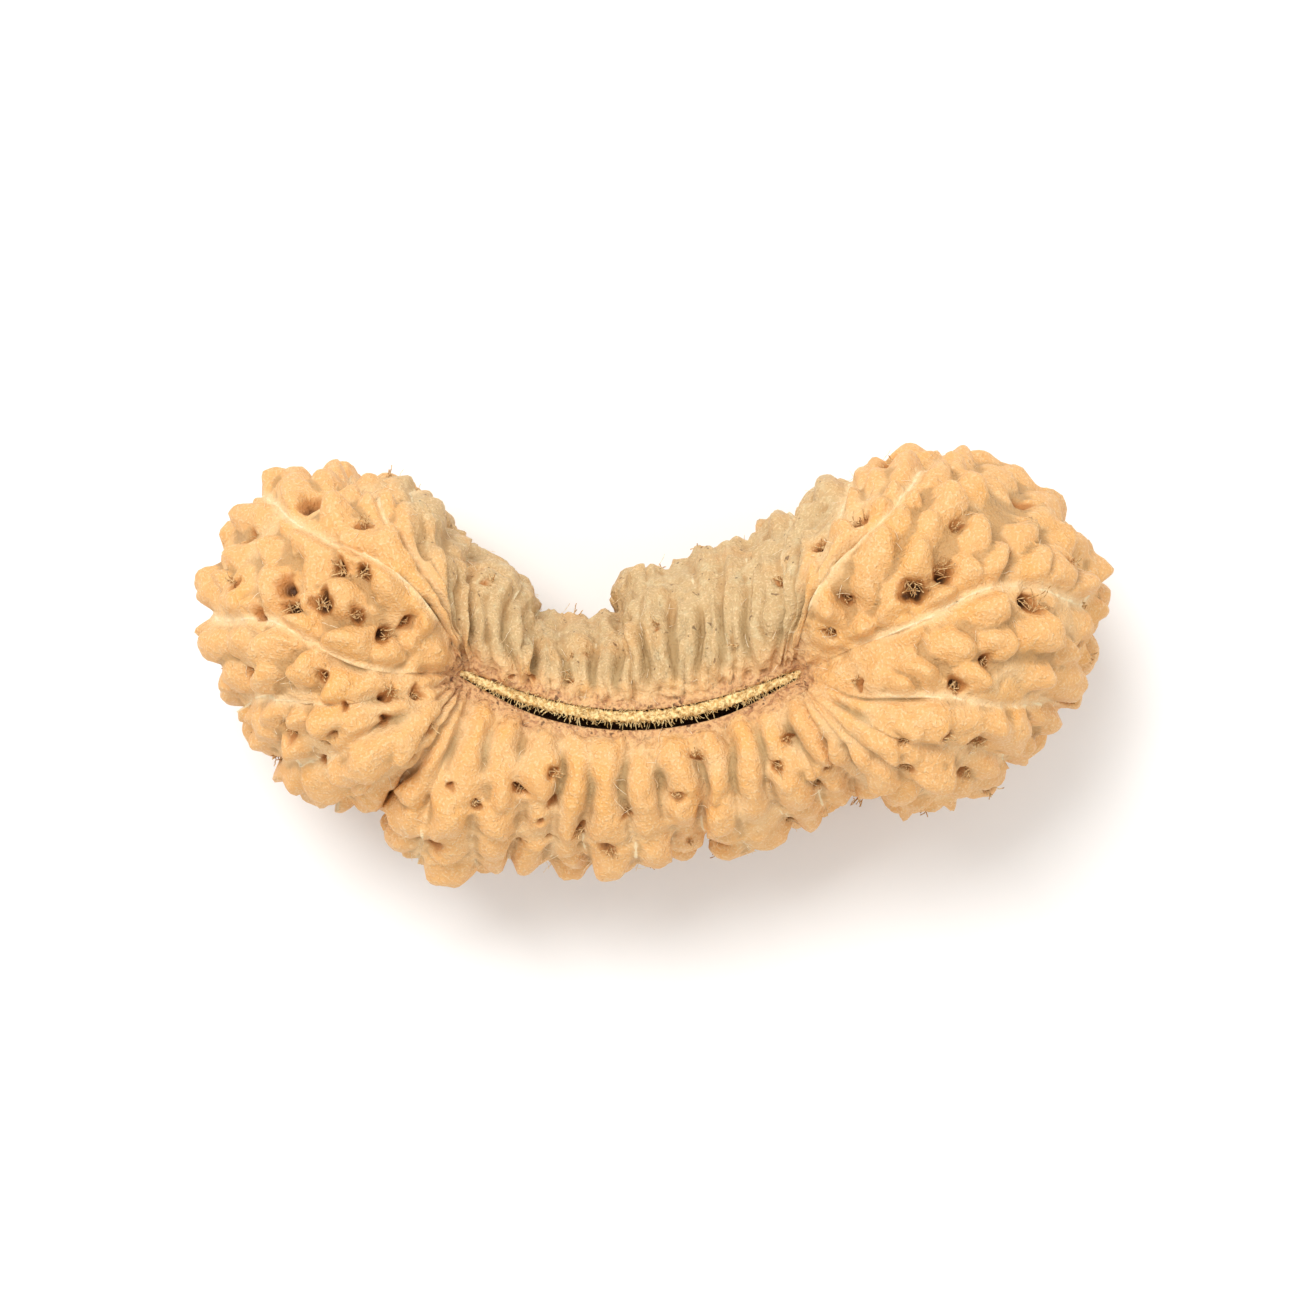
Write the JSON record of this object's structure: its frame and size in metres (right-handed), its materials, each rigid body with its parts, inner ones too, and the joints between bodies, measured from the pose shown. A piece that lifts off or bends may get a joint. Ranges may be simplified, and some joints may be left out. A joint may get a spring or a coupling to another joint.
{
  "type": "rudraksha bead",
  "caption": "Dried saddle-shaped seed bead with two knobbly lobes, a pinched ribbed waist and a curved fibrous stem slit; held in the hand, kept on display or worn.",
  "frame": {"origin": "bottom centre of the bead's box, on the plane of the worn spots under the lobes", "axes": "+X from the left lobe to the right lobe, +Y towards the hollow side, +Z along the stem axis, with the upper slit facing up"},
  "size_m": [0.0432, 0.0206, 0.0209],
  "materials": {
    "seed_shell": "dry, satin"
  },
  "bodies": {
    "root": {"bead": "seed_shell"}
  },
  "joints": []
}
